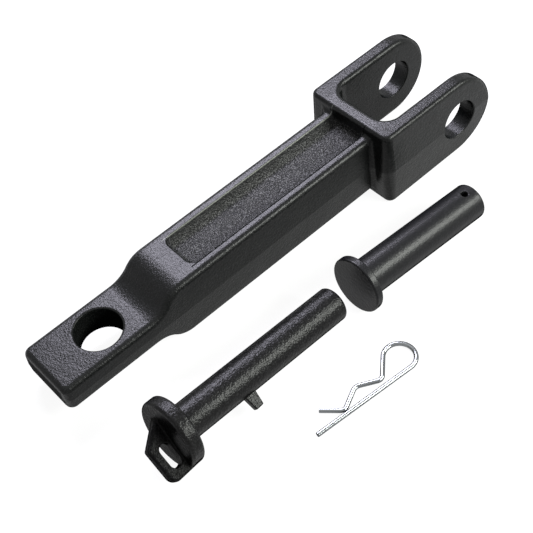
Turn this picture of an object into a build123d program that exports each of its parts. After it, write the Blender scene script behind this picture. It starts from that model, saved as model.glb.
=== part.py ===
import os
from math import acos, asin, atan2, cos, degrees, hypot, radians, sin

from build123d import *

# All sizes are in millimetres. The origin is the middle of the eye's bore, +X runs
# along the bar to its clevis, +Y runs through the clevis and +Z is up from the ground.

# Tow bar: one forging, parted at half its height
bar_width = 53.0
bar_draft = 3.5
eye_reach = 49.0
eye_thickness = 23.6
eye_corner = 6.5
eye_rim = 2.0
bar_edge = 4.5
neck_start = 28.0
neck_length = 32.0
shank_height = 53.0
pocket_start = 75.0
pocket_width = 34.0
pocket_depth = 8.5
pocket_draft = 30.0
pocket_corner = 7.0
pocket_floor_radius = 3.5
pocket_rim = 1.2
clevis_start = 242.2
clevis_height = 70.0
clevis_corner = 8.0
clevis_edge = 3.5
clevis_root = 4.0
clevis_back_wall = 14.8
clevis_bore_place = 321.5
clevis_bore_rim = 0.8
ear_thickness = 15.2
ear_inner_edge = 4.0
slot_width = 56.0
slot_corner = 13.0
seat_depth = 6.0
overshoot = 1.0

# Clevis pin: a plain headed pin with a cross hole for the clip
clevis_pin_diameter = 28.8
clevis_pin_clearance = 4.2
clevis_pin_length = 118.0
clevis_pin_head_diameter = 44.2
clevis_pin_head_thickness = 6.3
clevis_pin_head_edge = 1.4
clevis_pin_end_round = 2.2
cross_hole_from_end = 10.3
cross_hole_clearance = 1.9
cross_hole_rim = 0.7
cross_hole_turn = 8.7
clevis_pin_place = (157.0, -93.0)
clevis_pin_heading = 0.7

# Locking pin: a thick round head with a slotted tab, and a lug on the shaft
locking_pin_diameter = 26.6
locking_pin_clearance = 8.4
locking_pin_length = 149.0
locking_pin_head_diameter = 52.0
locking_pin_head_thickness = 11.0
locking_pin_head_edge = 2.6
locking_pin_end_round = 2.6
under_head_radius = 1.2
tab_turn = 38.0
tab_reach = 17.6
tab_thickness = 8.4
tab_short_side = 15.0
tab_long_side = 26.4
tab_slope = 13.5
tab_nose = 2.5
tab_corner = 6.0
tab_edge = 2.2
tab_root = 1.5
tab_slot_length = 18.5
tab_slot_width = 8.6
tab_slot_out = 6.8
tab_slot_side = 10.0
tab_slot_rim = 0.8
lug_place = 52.2
lug_width = 6.8
lug_thickness = 5.4
lug_reach = 14.2
lug_flare = 1.8
lug_edge = 1.0
root_depth = 5.0
locking_pin_place = (-18.0, -97.2)
locking_pin_heading = 3.5

# Retaining clip: one wire, with a straight leg, an eye and a waved leg
clip_wire = 3.4
clip_leg = 83.0
clip_eye_radius = 11.5
clip_eye_turn = 225.0
clip_waist = (61.4, 5.0)
clip_waist_radius = 5.0
clip_hump = (43.6, 13.0)
clip_hump_radius = 6.5
clip_mouth = 26.0
clip_mouth_gap = 0.3
clip_mouth_radius = 4.0
clip_tip = (12.9, 14.2)
clip_place = (61.7, -153.1)
clip_heading = -4.2

# Sizes that follow from the ones above
neck_rise = (shank_height - eye_thickness) / 2
neck_radius = (neck_length**2 + neck_rise**2) / (4 * neck_rise)
neck_turn = degrees(acos(1 - neck_rise / (2 * neck_radius)))
neck_end = neck_start + neck_length
clevis_width = slot_width + 2 * ear_thickness
ear_radius = clevis_height / 2
clevis_end = clevis_bore_place + ear_radius
slot_start = clevis_start + clevis_back_wall
shank_end = clevis_start + seat_depth
pocket_length = shank_end + pocket_corner - pocket_start
blank_end = clevis_end + clevis_edge
bar_length = eye_reach + blank_end
eye_bore = locking_pin_diameter + locking_pin_clearance
clevis_bore = clevis_pin_diameter + clevis_pin_clearance
cross_hole = clip_wire + cross_hole_clearance
far = 1000


def lie_down(first, second):
    # How far an axis climbs, in radians, and how high its start is, where the piece lies
    # on two rounded places: each is its distance along, its depth and its radius.
    along = second[0] - first[0]
    deeper = second[1] - first[1]
    lean = asin((first[2] - second[2]) / hypot(along, deeper)) - atan2(deeper, along)
    return -lean, first[0] * sin(lean) + first[1] * cos(lean) + first[2]


def lying_plane(place, heading, climb):
    # Local X is the axis, local Y is level and local Z points up
    turn = radians(heading)
    axis = (cos(climb) * cos(turn), cos(climb) * sin(turn), sin(climb))
    up = (-sin(climb) * cos(turn), -sin(climb) * sin(turn), cos(climb))
    return Plane(origin=place, x_dir=axis, z_dir=up)


def side_of(plane):
    # The upright plane through a piece's axis, with local Y pointing up
    return Plane(origin=plane.origin, x_dir=plane.x_dir, z_dir=-plane.y_dir)


def headed_profile(head, thickness, head_edge, shaft, length, end_round):
    FilletPolyline(
        (0, 0),
        (0, head / 2),
        (thickness, head / 2),
        (thickness, shaft / 2),
        (thickness + length, shaft / 2),
        (thickness + length, 0),
        radius=(head_edge, head_edge, under_head_radius, end_round),
    )
    Line((thickness + length, 0), (0, 0))


def crisp_edges(solid, plane, start=-far, end=far, side=far, low=0.1, top=far):
    # Edges where two faces meet at more than 25 degrees, and not those where one runs into
    # the next: between two places along a plane, near its axis and between two heights
    crisp = ShapeList()
    faces = solid.faces()
    for edge in solid.edges():
        middle = plane.to_local_coords(edge @ 0.5)
        if not (start < middle.X < end and abs(middle.Y) < side + 0.1 and low < middle.Z < top + 0.1):
            continue
        sides = [face for face in faces if any(edge.is_same(other) for other in face.edges())]
        if len(sides) == 2:
            first, second = (face.normal_at(edge @ 0.5) for face in sides)
            if first.get_angle(second) > 25:
                crisp.append(edge)
    return crisp


# The bar lies on the underside of its neck and on the back edge of its clevis, so its
# middle plane climbs a little towards the clevis.
neck_foot = (neck_end, shank_height / 2 - neck_radius, neck_radius)
clevis_heel = (clevis_start + clevis_edge, clevis_height / 2 - clevis_edge, clevis_edge)
bar_climb, bar_lift = lie_down(neck_foot, clevis_heel)
ground = -bar_lift
bar_plan = lying_plane((0, 0, 0), 0, bar_climb)
bar_side = side_of(bar_plan)

# The top half of the forging: the eye and shank, then the fork, then both joined
with BuildPart() as eye_and_shank:
    with BuildSketch(bar_plan) as eye_plan:
        with Locations(((shank_end - eye_reach) / 2, 0)):
            Rectangle(shank_end + eye_reach, bar_width)
        fillet(eye_plan.vertices().group_by(Axis.X)[0], radius=eye_corner)
    extrude(amount=shank_height / 2 + overshoot, taper=bar_draft)
    with BuildSketch(bar_side):
        with BuildLine():
            start = -eye_reach - overshoot
            eye_top = Line((start, eye_thickness / 2), (neck_start, eye_thickness / 2))
            hollow = JernArc(eye_top @ 1, eye_top % 1, neck_radius, neck_turn)
            swell = JernArc(hollow @ 1, hollow % 1, neck_radius, -neck_turn)
            shank_top = Line(swell @ 1, (shank_end + overshoot, shank_height / 2))
            Polyline(shank_top @ 1, (shank_end + overshoot, 0), (start, 0), eye_top @ 0)
        make_face()
    extrude(amount=bar_width, both=True, mode=Mode.INTERSECT)
    with BuildSketch(bar_plan.offset(shank_height / 2)):
        with Locations((pocket_start + pocket_length / 2, 0)):
            RectangleRounded(pocket_length, pocket_width, pocket_corner)
    extrude(amount=-pocket_depth, taper=pocket_draft, mode=Mode.SUBTRACT)

with BuildPart() as fork:
    with BuildSketch(bar_plan) as fork_plan:
        with Locations(((clevis_start + blank_end) / 2, 0)):
            Rectangle(blank_end - clevis_start, clevis_width)
        fillet(fork_plan.vertices().group_by(Axis.X)[0], radius=clevis_corner)
    extrude(amount=ear_radius + overshoot, taper=bar_draft)
    with BuildSketch(bar_side):
        with BuildLine():
            start = clevis_start - overshoot
            fork_top = Line((start, ear_radius), (clevis_bore_place, ear_radius))
            ear_end = JernArc(fork_top @ 1, fork_top % 1, ear_radius, -90)
            Polyline(ear_end @ 1, (start, 0), fork_top @ 0)
        make_face()
    extrude(amount=clevis_width, both=True, mode=Mode.INTERSECT)
    with BuildSketch(bar_plan) as slot_plan:
        with Locations(((slot_start + blank_end) / 2, 0)):
            Rectangle(blank_end - slot_start, slot_width)
        fillet(slot_plan.vertices().group_by(Axis.X)[0], radius=slot_corner)
    extrude(amount=clevis_height, mode=Mode.SUBTRACT)

with BuildPart() as tow_bar:
    add(eye_and_shank.part)
    add(fork.part)
    shank_box = {"end": slot_start, "side": bar_width / 2, "top": shank_height / 2}
    fillet(crisp_edges(tow_bar.part, bar_plan, start=clevis_start, **shank_box), radius=clevis_root)
    pocket_box = {"start": pocket_start - overshoot, "end": slot_start, "side": pocket_width / 2}
    floor_edges = crisp_edges(tow_bar.part, bar_plan, top=shank_height / 2 - pocket_depth, **pocket_box)
    fillet(floor_edges, radius=pocket_floor_radius)
    rim_edges = crisp_edges(tow_bar.part, bar_plan, top=shank_height / 2, **pocket_box)
    fillet(rim_edges, radius=pocket_rim)
    fillet(crisp_edges(tow_bar.part, bar_plan, **shank_box), radius=bar_edge)
    slot_edges = crisp_edges(tow_bar.part, bar_plan, start=slot_start - overshoot, side=slot_width / 2)
    fillet(slot_edges, radius=ear_inner_edge)
    fillet(crisp_edges(tow_bar.part, bar_plan), radius=clevis_edge)
    mirror(about=bar_plan)
    with BuildSketch(bar_plan):
        Circle(eye_bore / 2)
    extrude(amount=eye_thickness, both=True, mode=Mode.SUBTRACT)
    fillet(crisp_edges(tow_bar.part, bar_plan, low=-far), radius=eye_rim)
    with BuildSketch(bar_side):
        with Locations((clevis_bore_place, 0)):
            Circle(clevis_bore / 2)
    extrude(amount=clevis_width, both=True, mode=Mode.SUBTRACT)
    fillet(crisp_edges(tow_bar.part, bar_plan, low=-far), radius=clevis_bore_rim)
tow_bar.part.label = "tow_bar"

pin_head_rim = (
    clevis_pin_head_thickness - clevis_pin_head_edge,
    clevis_pin_head_diameter / 2 - clevis_pin_head_edge,
    clevis_pin_head_edge,
)
pin_end_rim = (
    clevis_pin_head_thickness + clevis_pin_length - clevis_pin_end_round,
    clevis_pin_diameter / 2 - clevis_pin_end_round,
    clevis_pin_end_round,
)
pin_climb, pin_lift = lie_down(pin_head_rim, pin_end_rim)
pin_plane = lying_plane((*clevis_pin_place, ground + pin_lift), clevis_pin_heading, pin_climb)
cross_hole_plane = pin_plane.rotated((cross_hole_turn, 0, 0))
cross_hole_place = clevis_pin_head_thickness + clevis_pin_length - cross_hole_from_end

with BuildPart() as clevis_pin:
    with BuildSketch(side_of(pin_plane)):
        with BuildLine():
            headed_profile(
                clevis_pin_head_diameter,
                clevis_pin_head_thickness,
                clevis_pin_head_edge,
                clevis_pin_diameter,
                clevis_pin_length,
                clevis_pin_end_round,
            )
        make_face()
    revolve(axis=Axis(pin_plane.origin, pin_plane.x_dir))
    with BuildSketch(cross_hole_plane):
        with Locations((cross_hole_place, 0)):
            Circle(cross_hole / 2)
    extrude(amount=clevis_pin_diameter, both=True, mode=Mode.SUBTRACT)
    fillet(crisp_edges(clevis_pin.part, pin_plane, low=-far), radius=cross_hole_rim)
clevis_pin.part.label = "clevis_pin"

lock_head_rim = (
    locking_pin_head_thickness - locking_pin_head_edge,
    locking_pin_head_diameter / 2 - locking_pin_head_edge,
    locking_pin_head_edge,
)
lock_end_rim = (
    locking_pin_head_thickness + locking_pin_length - locking_pin_end_round,
    locking_pin_diameter / 2 - locking_pin_end_round,
    locking_pin_end_round,
)
lock_climb, lock_lift = lie_down(lock_head_rim, lock_end_rim)
lock_plane = lying_plane((*locking_pin_place, ground + lock_lift), locking_pin_heading, lock_climb)

tab_plane = lock_plane.rotated((tab_turn, 0, 0))

with BuildPart() as tab:
    with BuildSketch(tab_plane):
        with BuildLine():
            short_root = (root_depth, tab_short_side + root_depth * tab_slope / tab_reach)
            long_root = (root_depth, -tab_long_side)
            FilletPolyline(
                short_root,
                (-tab_reach, tab_short_side - tab_slope),
                (-tab_reach, -tab_long_side),
                long_root,
                radius=(tab_nose, tab_corner),
            )
            Line(long_root, short_root)
        make_face()
    extrude(amount=tab_thickness / 2, both=True)
    fillet(crisp_edges(tab.part, tab_plane, end=root_depth - overshoot, low=-far), radius=tab_edge)
    with BuildSketch(tab_plane):
        with Locations((-tab_slot_out, -tab_slot_side)):
            SlotOverall(tab_slot_length, tab_slot_width, rotation=90)
    extrude(amount=tab_thickness, both=True, mode=Mode.SUBTRACT)
    rims = crisp_edges(tab.part, tab_plane, end=root_depth - overshoot, low=-far)
    fillet(rims, radius=tab_slot_rim)

shaft_radius = locking_pin_diameter / 2
lug_middle = locking_pin_head_thickness + lug_place
lug_root = lug_width / 2 + lug_flare * (lug_reach + root_depth) / lug_reach

with BuildPart() as lug:
    with BuildSketch(tab_plane):
        with BuildLine():
            Polyline(
                (lug_middle - lug_root, root_depth - shaft_radius),
                (lug_middle - lug_width / 2, -shaft_radius - lug_reach),
                (lug_middle + lug_width / 2, -shaft_radius - lug_reach),
                (lug_middle + lug_root, root_depth - shaft_radius),
                close=True,
            )
        make_face()
    extrude(amount=lug_thickness / 2, both=True)
    fillet(lug.edges(), radius=lug_edge)

with BuildPart() as locking_pin:
    with BuildSketch(side_of(lock_plane)):
        with BuildLine():
            headed_profile(
                locking_pin_head_diameter,
                locking_pin_head_thickness,
                locking_pin_head_edge,
                locking_pin_diameter,
                locking_pin_length,
                locking_pin_end_round,
            )
        make_face()
    revolve(axis=Axis(lock_plane.origin, lock_plane.x_dir))
    add(tab.part)
    add(lug.part)
    fillet(crisp_edges(locking_pin.part, tab_plane, end=root_depth, low=-far), radius=tab_root)
locking_pin.part.label = "locking_pin"

clip_plane = lying_plane((*clip_place, ground + clip_wire / 2), clip_heading, 0)
turn = radians(clip_eye_turn)
eye_end = (clip_leg + clip_eye_radius * sin(turn), clip_eye_radius * (1 - cos(turn)))
mouth_low = clip_wire + clip_mouth_gap

with BuildPart() as retaining_clip:
    with BuildLine(clip_plane) as clip_path:
        leg = Line((0, 0), (clip_leg, 0))
        JernArc(leg @ 1, leg % 1, clip_eye_radius, clip_eye_turn)
        FilletPolyline(
            eye_end,
            clip_waist,
            clip_hump,
            (clip_mouth, mouth_low - 1),
            clip_tip,
            radius=(clip_waist_radius, clip_hump_radius, clip_mouth_radius),
        )
    with BuildSketch(Plane(origin=clip_path.line @ 0, z_dir=clip_path.line % 0)):
        Circle(clip_wire / 2)
    sweep(path=clip_path.line)
retaining_clip.part.label = "retaining_clip"

os.makedirs("parts", exist_ok=True)
export_step(tow_bar.part, "parts/tow_bar.step")
export_step(clevis_pin.part, "parts/clevis_pin.step")
export_step(locking_pin.part, "parts/locking_pin.step")
export_step(retaining_clip.part, "parts/retaining_clip.step")
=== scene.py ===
import math

import bpy
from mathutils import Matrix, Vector


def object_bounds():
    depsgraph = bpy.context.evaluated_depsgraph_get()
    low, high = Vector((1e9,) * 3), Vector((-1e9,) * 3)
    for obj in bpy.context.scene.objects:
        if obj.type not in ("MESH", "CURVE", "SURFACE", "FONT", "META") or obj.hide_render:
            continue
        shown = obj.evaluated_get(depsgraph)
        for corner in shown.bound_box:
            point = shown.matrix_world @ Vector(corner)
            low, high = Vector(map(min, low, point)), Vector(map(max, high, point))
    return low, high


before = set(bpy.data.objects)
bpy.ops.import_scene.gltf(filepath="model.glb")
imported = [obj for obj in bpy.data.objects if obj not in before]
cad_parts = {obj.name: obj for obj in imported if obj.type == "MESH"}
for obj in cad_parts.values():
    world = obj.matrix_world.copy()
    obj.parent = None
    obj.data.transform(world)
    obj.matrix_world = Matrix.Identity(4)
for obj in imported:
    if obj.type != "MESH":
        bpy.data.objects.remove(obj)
cadBounds = [list(corner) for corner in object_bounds()]
groundHeight = cadBounds[0][2]
print("frame loaded:", sorted(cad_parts))


# camera, at the photograph's viewing angle
view = {
    "place": (-0.18154, -0.46555, 0.62076),
    "turn": (40.1195, 5.4207, -41.6476),  # degrees about X, Y, Z
    "lens": 75.835,
    "sensor": 36.0,
    "shift": (0.00305, 0.00035),
    "nearest": 0.01,
}
cameraData = bpy.data.cameras.new("camera")
cameraData.lens = view["lens"]
cameraData.sensor_width = view["sensor"]
cameraData.shift_x, cameraData.shift_y = view["shift"]
cameraData.clip_start = view["nearest"]
camera = bpy.data.objects.new("camera", cameraData)
camera.location = view["place"]
camera.rotation_euler = [math.radians(angle) for angle in view["turn"]]
bpy.context.collection.objects.link(camera)
bpy.context.scene.camera = camera
print("camera placed")


# small helpers for node trees
def newMaterial(name):
    material = bpy.data.materials.new(name)
    material.use_nodes = True
    nodes = material.node_tree.nodes
    nodes.clear()
    output = nodes.new("ShaderNodeOutputMaterial")
    return material, nodes, material.node_tree.links, output


def addNode(nodes, kind, **values):
    # values name either a property of the node or one of its inputs
    node = nodes.new(kind)
    for name, value in values.items():
        label = name.replace("_", " ")
        if hasattr(node, name):
            setattr(node, name, value)
        else:
            node.inputs[label].default_value = value
    return node


def easeBetween(nodes, links, value, low, high):
    # 0 at low and 1 at high, smooth between them; low may be the larger
    ramp = addNode(nodes, "ShaderNodeMapRange", interpolation_type="SMOOTHSTEP")
    ramp.inputs["From Min"].default_value = min(low, high)
    ramp.inputs["From Max"].default_value = max(low, high)
    ramp.inputs["To Min"].default_value = 0.0 if low < high else 1.0
    ramp.inputs["To Max"].default_value = 1.0 if low < high else 0.0
    links.new(value, ramp.inputs["Value"])
    return ramp.outputs[0]


def rangeBetween(nodes, links, value, low, high):
    # turns 0 to 1 into low to high
    ramp = addNode(nodes, "ShaderNodeMapRange")
    ramp.inputs["To Min"].default_value = low
    ramp.inputs["To Max"].default_value = high
    links.new(value, ramp.inputs["Value"])
    return ramp.outputs[0]


def maths(nodes, links, operation, *values):
    # each value is another node's output
    node = addNode(nodes, "ShaderNodeMath", operation=operation)
    for value, socket in zip(values, node.inputs):
        links.new(value, socket)
    return node.outputs[0]


def multiplied(nodes, links, values):
    product = values[0]
    for value in values[1:]:
        product = maths(nodes, links, "MULTIPLY", product, value)
    return product


def colourRamp(nodes, links, value, places, colours):
    ramp = nodes.new("ShaderNodeValToRGB")
    for element, spot, colour in zip(ramp.color_ramp.elements, places, colours):
        element.position = spot
        element.color = colour
    links.new(value, ramp.inputs[0])
    return ramp.outputs[0]


def blended(nodes, links, kind, factor, first, second):
    # first where factor is 0; second, an output or a fixed value, where it is 1
    mix = addNode(nodes, "ShaderNodeMix", data_type=kind)
    links.new(factor, mix.inputs["Factor"])
    links.new(first, mix.inputs["A"])
    if isinstance(second, bpy.types.NodeSocket):
        links.new(second, mix.inputs["B"])
    else:
        mix.inputs["B"].default_value = second
    return mix.outputs["Result"]


# studio: a pale floor, a pale room and three soft lamps
studio = {
    "floorColour": (0.12, 0.12, 0.12, 1),
    "floorSize": 16.0,
    "floorLift": 0.92,  # the glow that brings the floor up to white
    "roomStrength": 0.25,  # what lights the pieces
    "backgroundColour": (1, 1, 1, 1),  # what the camera and reflections see
    "backgroundStrength": 1.0,
    "far": {
        "place": (0.50, 0.68, 0.93), "aim": (0.18, 0.0, 0.0),
        "size": (0.70, 0.30), "power": 25.5, "colour": (0.87, 0.85, 1.0),
    },
    "near": {
        "place": (0.78, -0.86, 0.64), "aim": (0.2, -0.05, 0.0),
        "size": (0.9, 0.3), "power": 28, "colour": (0.97, 1.0, 0.94),
    },
    "over": {
        "place": (-0.1, 0.0, 1.6), "aim": (0.1, 0.0, 0.0),
        "size": (1.6, 1.6), "power": 4, "colour": (1.0, 1.0, 1.0),
    },
}


def addLamp(name, settings):
    data = bpy.data.lights.new(name, "AREA")
    data.shape = "RECTANGLE"
    data.size, data.size_y = settings["size"]
    data.energy = settings["power"]
    data.color = settings["colour"]
    lamp = bpy.data.objects.new(name, data)
    lamp.location = settings["place"]
    direction = Vector(settings["aim"]) - Vector(settings["place"])
    lamp.rotation_euler = direction.to_track_quat("-Z", "Y").to_euler()
    bpy.context.collection.objects.link(lamp)


def buildRoom():
    world = bpy.data.worlds.new("paleRoom")
    bpy.context.scene.world = world
    world.use_nodes = True
    nodes, links = world.node_tree.nodes, world.node_tree.links
    nodes.clear()
    output = nodes.new("ShaderNodeOutputWorld")
    path = nodes.new("ShaderNodeLightPath").outputs
    seen = maths(nodes, links, "MAXIMUM", path["Is Camera Ray"], path["Is Glossy Ray"])
    seen = maths(nodes, links, "MAXIMUM", seen, path["Is Transmission Ray"])
    room = addNode(nodes, "ShaderNodeBackground", Strength=studio["roomStrength"])
    background = addNode(nodes, "ShaderNodeBackground", Color=studio["backgroundColour"],
                         Strength=studio["backgroundStrength"])
    mix = nodes.new("ShaderNodeMixShader")
    links.new(seen, mix.inputs[0])
    links.new(room.outputs[0], mix.inputs[1])
    links.new(background.outputs[0], mix.inputs[2])
    links.new(mix.outputs[0], output.inputs["Surface"])


def buildFloor():
    half = studio["floorSize"] / 2
    mesh = bpy.data.meshes.new("floor")
    corners = [(-half, -half), (half, -half), (half, half), (-half, half)]
    mesh.from_pydata([(x, y, groundHeight) for x, y in corners], [], [(0, 1, 2, 3)])
    floor = bpy.data.objects.new("floor", mesh)
    bpy.context.collection.objects.link(floor)
    material, nodes, links, output = newMaterial("paleFloor")
    matte = addNode(nodes, "ShaderNodeBsdfDiffuse", Color=studio["floorColour"])
    lift = addNode(nodes, "ShaderNodeEmission", Strength=studio["floorLift"])
    path = nodes.new("ShaderNodeLightPath").outputs
    seen = maths(nodes, links, "MAXIMUM", path["Is Camera Ray"], path["Is Glossy Ray"])
    both = nodes.new("ShaderNodeAddShader")
    links.new(matte.outputs[0], both.inputs[0])
    links.new(lift.outputs[0], both.inputs[1])
    mix = nodes.new("ShaderNodeMixShader")
    links.new(seen, mix.inputs[0])
    links.new(matte.outputs[0], mix.inputs[1])
    links.new(both.outputs[0], mix.inputs[2])
    links.new(mix.outputs[0], output.inputs["Surface"])
    mesh.materials.append(material)


for name in ("far", "near", "over"):
    addLamp(name + "Lamp", studio[name])
buildRoom()
buildFloor()
print("studio lit")


# black powder coat, in three finishes; lengths in metres
# of two places, an effect begins at the first and is full at the second; a rim's are its edges
barCoat = {
    "dark": (0.003, 0.0034, 0.0033, 1), "fleck": (0.012, 0.0125, 0.0125, 1),
    "specular": 0.15, "roughness": (0.27, 0.34),
    "grainScale": 1100, "grainDepth": 0.00013,
    "pebbleScale": 520, "pebbleDepth": 0.00011,
    "waveScale": 45, "waveDepth": 0.0004,
    "climb": 2.6151,  # degrees that the bar rises from its eye to its clevis
    "bore": (0.0178, 0.0183),  # from the axis of the eye's bore: dull inside, glossy outside
    # painted light: the eye's end face is given a lighter grey, for how light falls on it
    "paintedEndLight": {"along": (-0.0476, -0.0481), "colour": (0.09, 0.092, 0.09, 1)},
    "neck": {"start": (0.028, 0.036), "end": (0.064, 0.056), "grainDepth": 0.0003},
    "pocket": {
        "start": (0.074, 0.075), "end": (0.246, 0.245),
        "side": (0.0168, 0.0118), "height": (0.0257, 0.0245),
        # painted sheen: lighter flecks on the pocket floors and ends, which are also rougher
        "fleck": (0.10, 0.10, 0.10, 1), "share": (0.50, 0.68),
        "roughness": 0.46, "grainDepth": 0.0006,
        # the second strip is a painted highlight: a lighter line along the far pocket rim
        "dullRim": (-0.0182, -0.0168), "farRimHighlight": (0.0164, 0.0175), "rimEase": 0.0004,
        "rimHighlightColour": (0.11, 0.115, 0.10, 1),
    },
    # distance from the bar's middle plane, and what the gloss is multiplied by past it
    "sides": [
        {"across": (0.0246, 0.0256), "gloss": 0.8},  # the shank's, and all of the ears
        {"across": (0.0404, 0.0414), "gloss": 1.45},  # the clevis's outer sides
    ],
}
clevisPinCoat = {
    "dark": (0.004, 0.0042, 0.0048, 1), "fleck": (0.010, 0.0102, 0.011, 1),
    "specular": 0.16, "roughness": (0.32, 0.38),
    "grainScale": 950, "grainDepth": 0.0001,
    "pebbleScale": 420, "pebbleDepth": 0.00008,
    "waveScale": 60, "waveDepth": 0.00008,
}
lockingPinCoat = {
    "dark": (0.003, 0.003, 0.003, 1), "fleck": (0.014, 0.014, 0.0145, 1),
    "specular": 0.12, "roughness": (0.27, 0.29),
    "grainScale": 950, "grainDepth": 0.00028,
    "pebbleScale": 420, "pebbleDepth": 0.00018,
    "waveScale": 50, "waveDepth": 0.00002,
    # the head's front and the tab, which lie before this place along the pin's axis
    "front": {"axis": (0.9945, 0.0608, -0.0849), "along": (-0.0242, -0.0238), "gloss": 0.3},
}
coatTexture = {
    "grainDetail": 1.0, "grainRoughness": 0.5, "pebbleSmoothness": 0.6, "waveDetail": 2.0,
    "fleckShare": (0.48, 0.72),
    "edgeFacing": (0.76, 0.5),  # gloss fades on surfaces that turn away from the viewer
}


def barMasks(nodes, links, place):
    levelled = nodes.new("ShaderNodeMapping")
    levelled.inputs["Rotation"].default_value[1] = math.radians(barCoat["climb"])
    links.new(place, levelled.inputs["Vector"])
    parts = nodes.new("ShaderNodeSeparateXYZ")
    links.new(levelled.outputs[0], parts.inputs[0])
    along, across = parts.outputs["X"], parts.outputs["Y"]
    side = maths(nodes, links, "ABSOLUTE", across)
    height = maths(nodes, links, "ABSOLUTE", parts.outputs["Z"])

    def eased(value, places):
        return easeBetween(nodes, links, value, *places)

    def strip(places):
        first, last = places
        ease = pocket["rimEase"]
        return multiplied(nodes, links, [
            eased(across, (first, first + ease)),
            eased(across, (last, last - ease)),
        ] + reach)

    pocket = barCoat["pocket"]
    reach = [eased(along, pocket["start"]), eased(along, pocket["end"])]
    dusty = multiplied(nodes, links, [
        eased(side, pocket["side"]), eased(height, pocket["height"]),
    ] + reach)
    # the second strip is a painted highlight along the far pocket rim
    dullRim, farRimHighlight = strip(pocket["dullRim"]), strip(pocket["farRimHighlight"])

    flat = nodes.new("ShaderNodeCombineXYZ")
    links.new(along, flat.inputs["X"])
    links.new(across, flat.inputs["Y"])
    radius = addNode(nodes, "ShaderNodeVectorMath", operation="LENGTH")
    links.new(flat.outputs[0], radius.inputs[0])
    shares = [
        rangeBetween(nodes, links, dullRim, 1.0, 0.0),
        eased(radius.outputs["Value"], barCoat["bore"]),
    ]
    sheen = [
        rangeBetween(nodes, links, eased(side, step["across"]), 1.0, step["gloss"])
        for step in barCoat["sides"]
    ]
    neck = [eased(along, barCoat["neck"]["start"]), eased(along, barCoat["neck"]["end"])]
    return {
        "dusty": dusty,  # the floors and ends of the shank's two pockets: rougher and coarser, with lighter flecks painted in as sheen
        "glossy": multiplied(nodes, links, shares),  # all but the bore and one rim
        "rimHighlight": farRimHighlight,
        "neck": multiplied(nodes, links, neck),  # where the cast skin is coarser
        "sheen": multiplied(nodes, links, sheen),
        "end": eased(along, barCoat["paintedEndLight"]["along"]),  # the eye's end face, painted light: a lighter grey
    }


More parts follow.
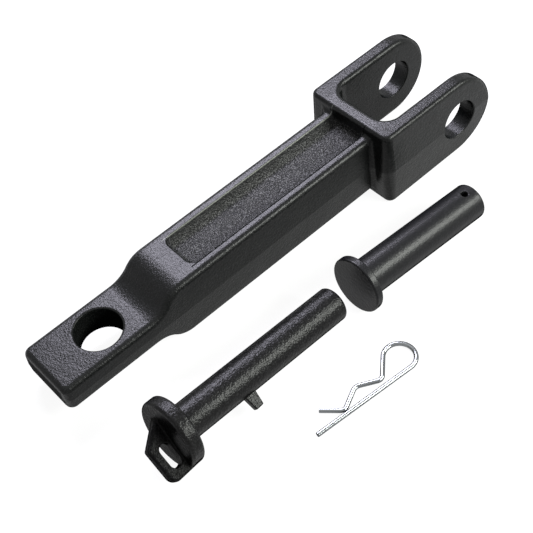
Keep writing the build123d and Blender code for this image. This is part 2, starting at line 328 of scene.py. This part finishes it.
def powderCoat(name, coat):
    material, nodes, links, output = newMaterial(name)
    shader = nodes.new("ShaderNodeBsdfPrincipled")
    links.new(shader.outputs[0], output.inputs["Surface"])
    place = nodes.new("ShaderNodeTexCoord").outputs["Object"]

    grain = addNode(nodes, "ShaderNodeTexNoise", Scale=coat["grainScale"],
                    Detail=coatTexture["grainDetail"], Roughness=coatTexture["grainRoughness"])
    pebbles = addNode(nodes, "ShaderNodeTexVoronoi", feature="SMOOTH_F1",
                      Scale=coat["pebbleScale"], Smoothness=coatTexture["pebbleSmoothness"])
    waves = addNode(nodes, "ShaderNodeTexNoise", Scale=coat["waveScale"],
                    Detail=coatTexture["waveDetail"])
    for texture in (grain, pebbles, waves):
        links.new(place, texture.inputs["Vector"])

    colour = colourRamp(nodes, links, grain.outputs["Fac"], coatTexture["fleckShare"],
                        (coat["dark"], coat["fleck"]))
    rough = rangeBetween(nodes, links, waves.outputs["Fac"], *coat["roughness"])
    turned = addNode(nodes, "ShaderNodeLayerWeight", Blend=0.5)
    gloss = easeBetween(nodes, links, turned.outputs["Facing"], *coatTexture["edgeFacing"])
    masks = barMasks(nodes, links, place) if "pocket" in coat else None
    if masks:
        pocket = coat["pocket"]
        # painted sheen: lighter flecks on the pocket floors and ends
        dust = colourRamp(nodes, links, grain.outputs["Fac"], pocket["share"],
                          (coat["dark"], pocket["fleck"]))
        colour = blended(nodes, links, "RGBA", masks["dusty"], colour, dust)
        # painted highlight: a lighter line along the far pocket rim
        colour = blended(nodes, links, "RGBA", masks["rimHighlight"], colour, pocket["rimHighlightColour"])
        # painted light: the eye's end face in a lighter grey
        colour = blended(nodes, links, "RGBA", masks["end"], colour, coat["paintedEndLight"]["colour"])
        rough = blended(nodes, links, "FLOAT", masks["dusty"], rough, pocket["roughness"])
        gloss = multiplied(nodes, links, [gloss, masks["glossy"]])
    if "front" in coat:
        front = coat["front"]
        along = addNode(nodes, "ShaderNodeVectorMath", operation="DOT_PRODUCT")
        along.inputs[1].default_value = front["axis"]
        links.new(place, along.inputs[0])
        behind = easeBetween(nodes, links, along.outputs["Value"], *front["along"])
        dulled = rangeBetween(nodes, links, behind, front["gloss"], 1.0)
        gloss = multiplied(nodes, links, [gloss, dulled])
    specular = rangeBetween(nodes, links, gloss, 0.0, coat["specular"])
    if masks:
        specular = multiplied(nodes, links, [specular, masks["sheen"]])
    links.new(colour, shader.inputs["Base Color"])
    links.new(rough, shader.inputs["Roughness"])
    links.new(specular, shader.inputs["Specular IOR Level"])

    normal = None
    for texture, depth in ((waves, "waveDepth"), (pebbles, "pebbleDepth"), (grain, "grainDepth")):
        bump = addNode(nodes, "ShaderNodeBump", Strength=1.0, Distance=coat[depth])
        links.new(texture.outputs[0], bump.inputs["Height"])
        if normal:
            links.new(normal, bump.inputs["Normal"])
        normal = bump.outputs[0]
    if masks:
        # the last bump is the grain's: deeper in the pockets and on the neck
        fine = coat["grainDepth"]
        depths = [
            rangeBetween(nodes, links, masks["dusty"], fine, coat["pocket"]["grainDepth"]),
            rangeBetween(nodes, links, masks["neck"], fine, coat["neck"]["grainDepth"]),
        ]
        links.new(maths(nodes, links, "MAXIMUM", *depths), bump.inputs["Distance"])
    links.new(normal, shader.inputs["Normal"])
    return material


# bright zinc
clipPlating = {
    "colour": (0.20, 0.21, 0.215, 1),
    "edgeColour": (0.2, 0.2, 0.21, 1),
    "roughness": 0.13,
}


def zincPlate(name, plating):
    material, nodes, links, output = newMaterial(name)
    shader = addNode(nodes, "ShaderNodeBsdfPrincipled", Metallic=1.0,
                     Roughness=plating["roughness"], Base_Color=plating["colour"],
                     Specular_Tint=plating["edgeColour"])
    links.new(shader.outputs[0], output.inputs["Surface"])
    return material


finishes = {
    "tow_bar": powderCoat("barPowderCoat", barCoat),
    "clevis_pin": powderCoat("clevisPinPowderCoat", clevisPinCoat),
    "locking_pin": powderCoat("lockingPinPowderCoat", lockingPinCoat),
    "retaining_clip": zincPlate("clipZinc", clipPlating),
}
for node, material in finishes.items():
    piece = bpy.data.objects[node]
    piece.data.materials.clear()
    piece.data.materials.append(material)
print("finishes made")

bpy.context.scene.view_settings.view_transform = "Standard"
